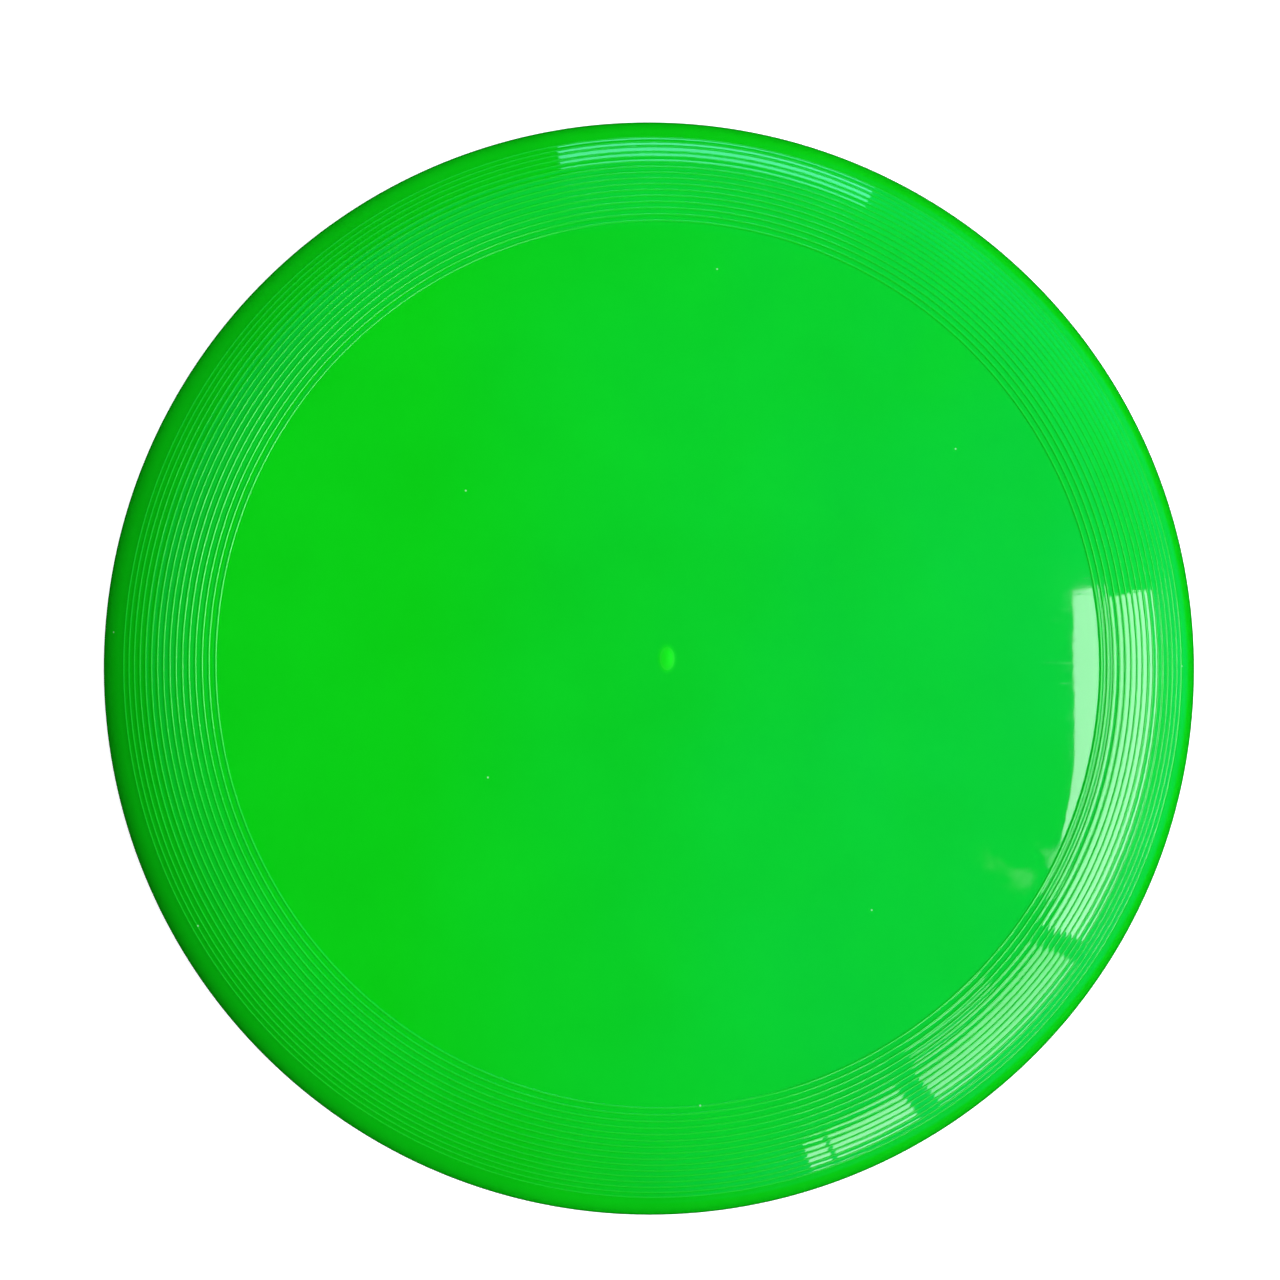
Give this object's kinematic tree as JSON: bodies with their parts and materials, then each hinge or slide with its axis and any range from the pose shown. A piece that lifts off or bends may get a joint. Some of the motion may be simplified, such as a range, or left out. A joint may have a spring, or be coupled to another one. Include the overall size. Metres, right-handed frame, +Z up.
{
  "type": "flying disc",
  "caption": "Round flying disc for throwing: a thin slightly domed plate with fine flight rings on its shoulder and a deep rounded grip rim, open underneath.",
  "frame": {"origin": "centre of the ring on which the disc rests, at the rim's lowest face", "axes": "+Z up along the axis of revolution, from the open underside to the flight plate; X and Y are alike"},
  "size_m": [0.273, 0.273, 0.0322],
  "materials": {
    "moulded_polyethylene": "glossy moulded"
  },
  "bodies": {
    "root": {"disc": "moulded_polyethylene"}
  },
  "joints": []
}
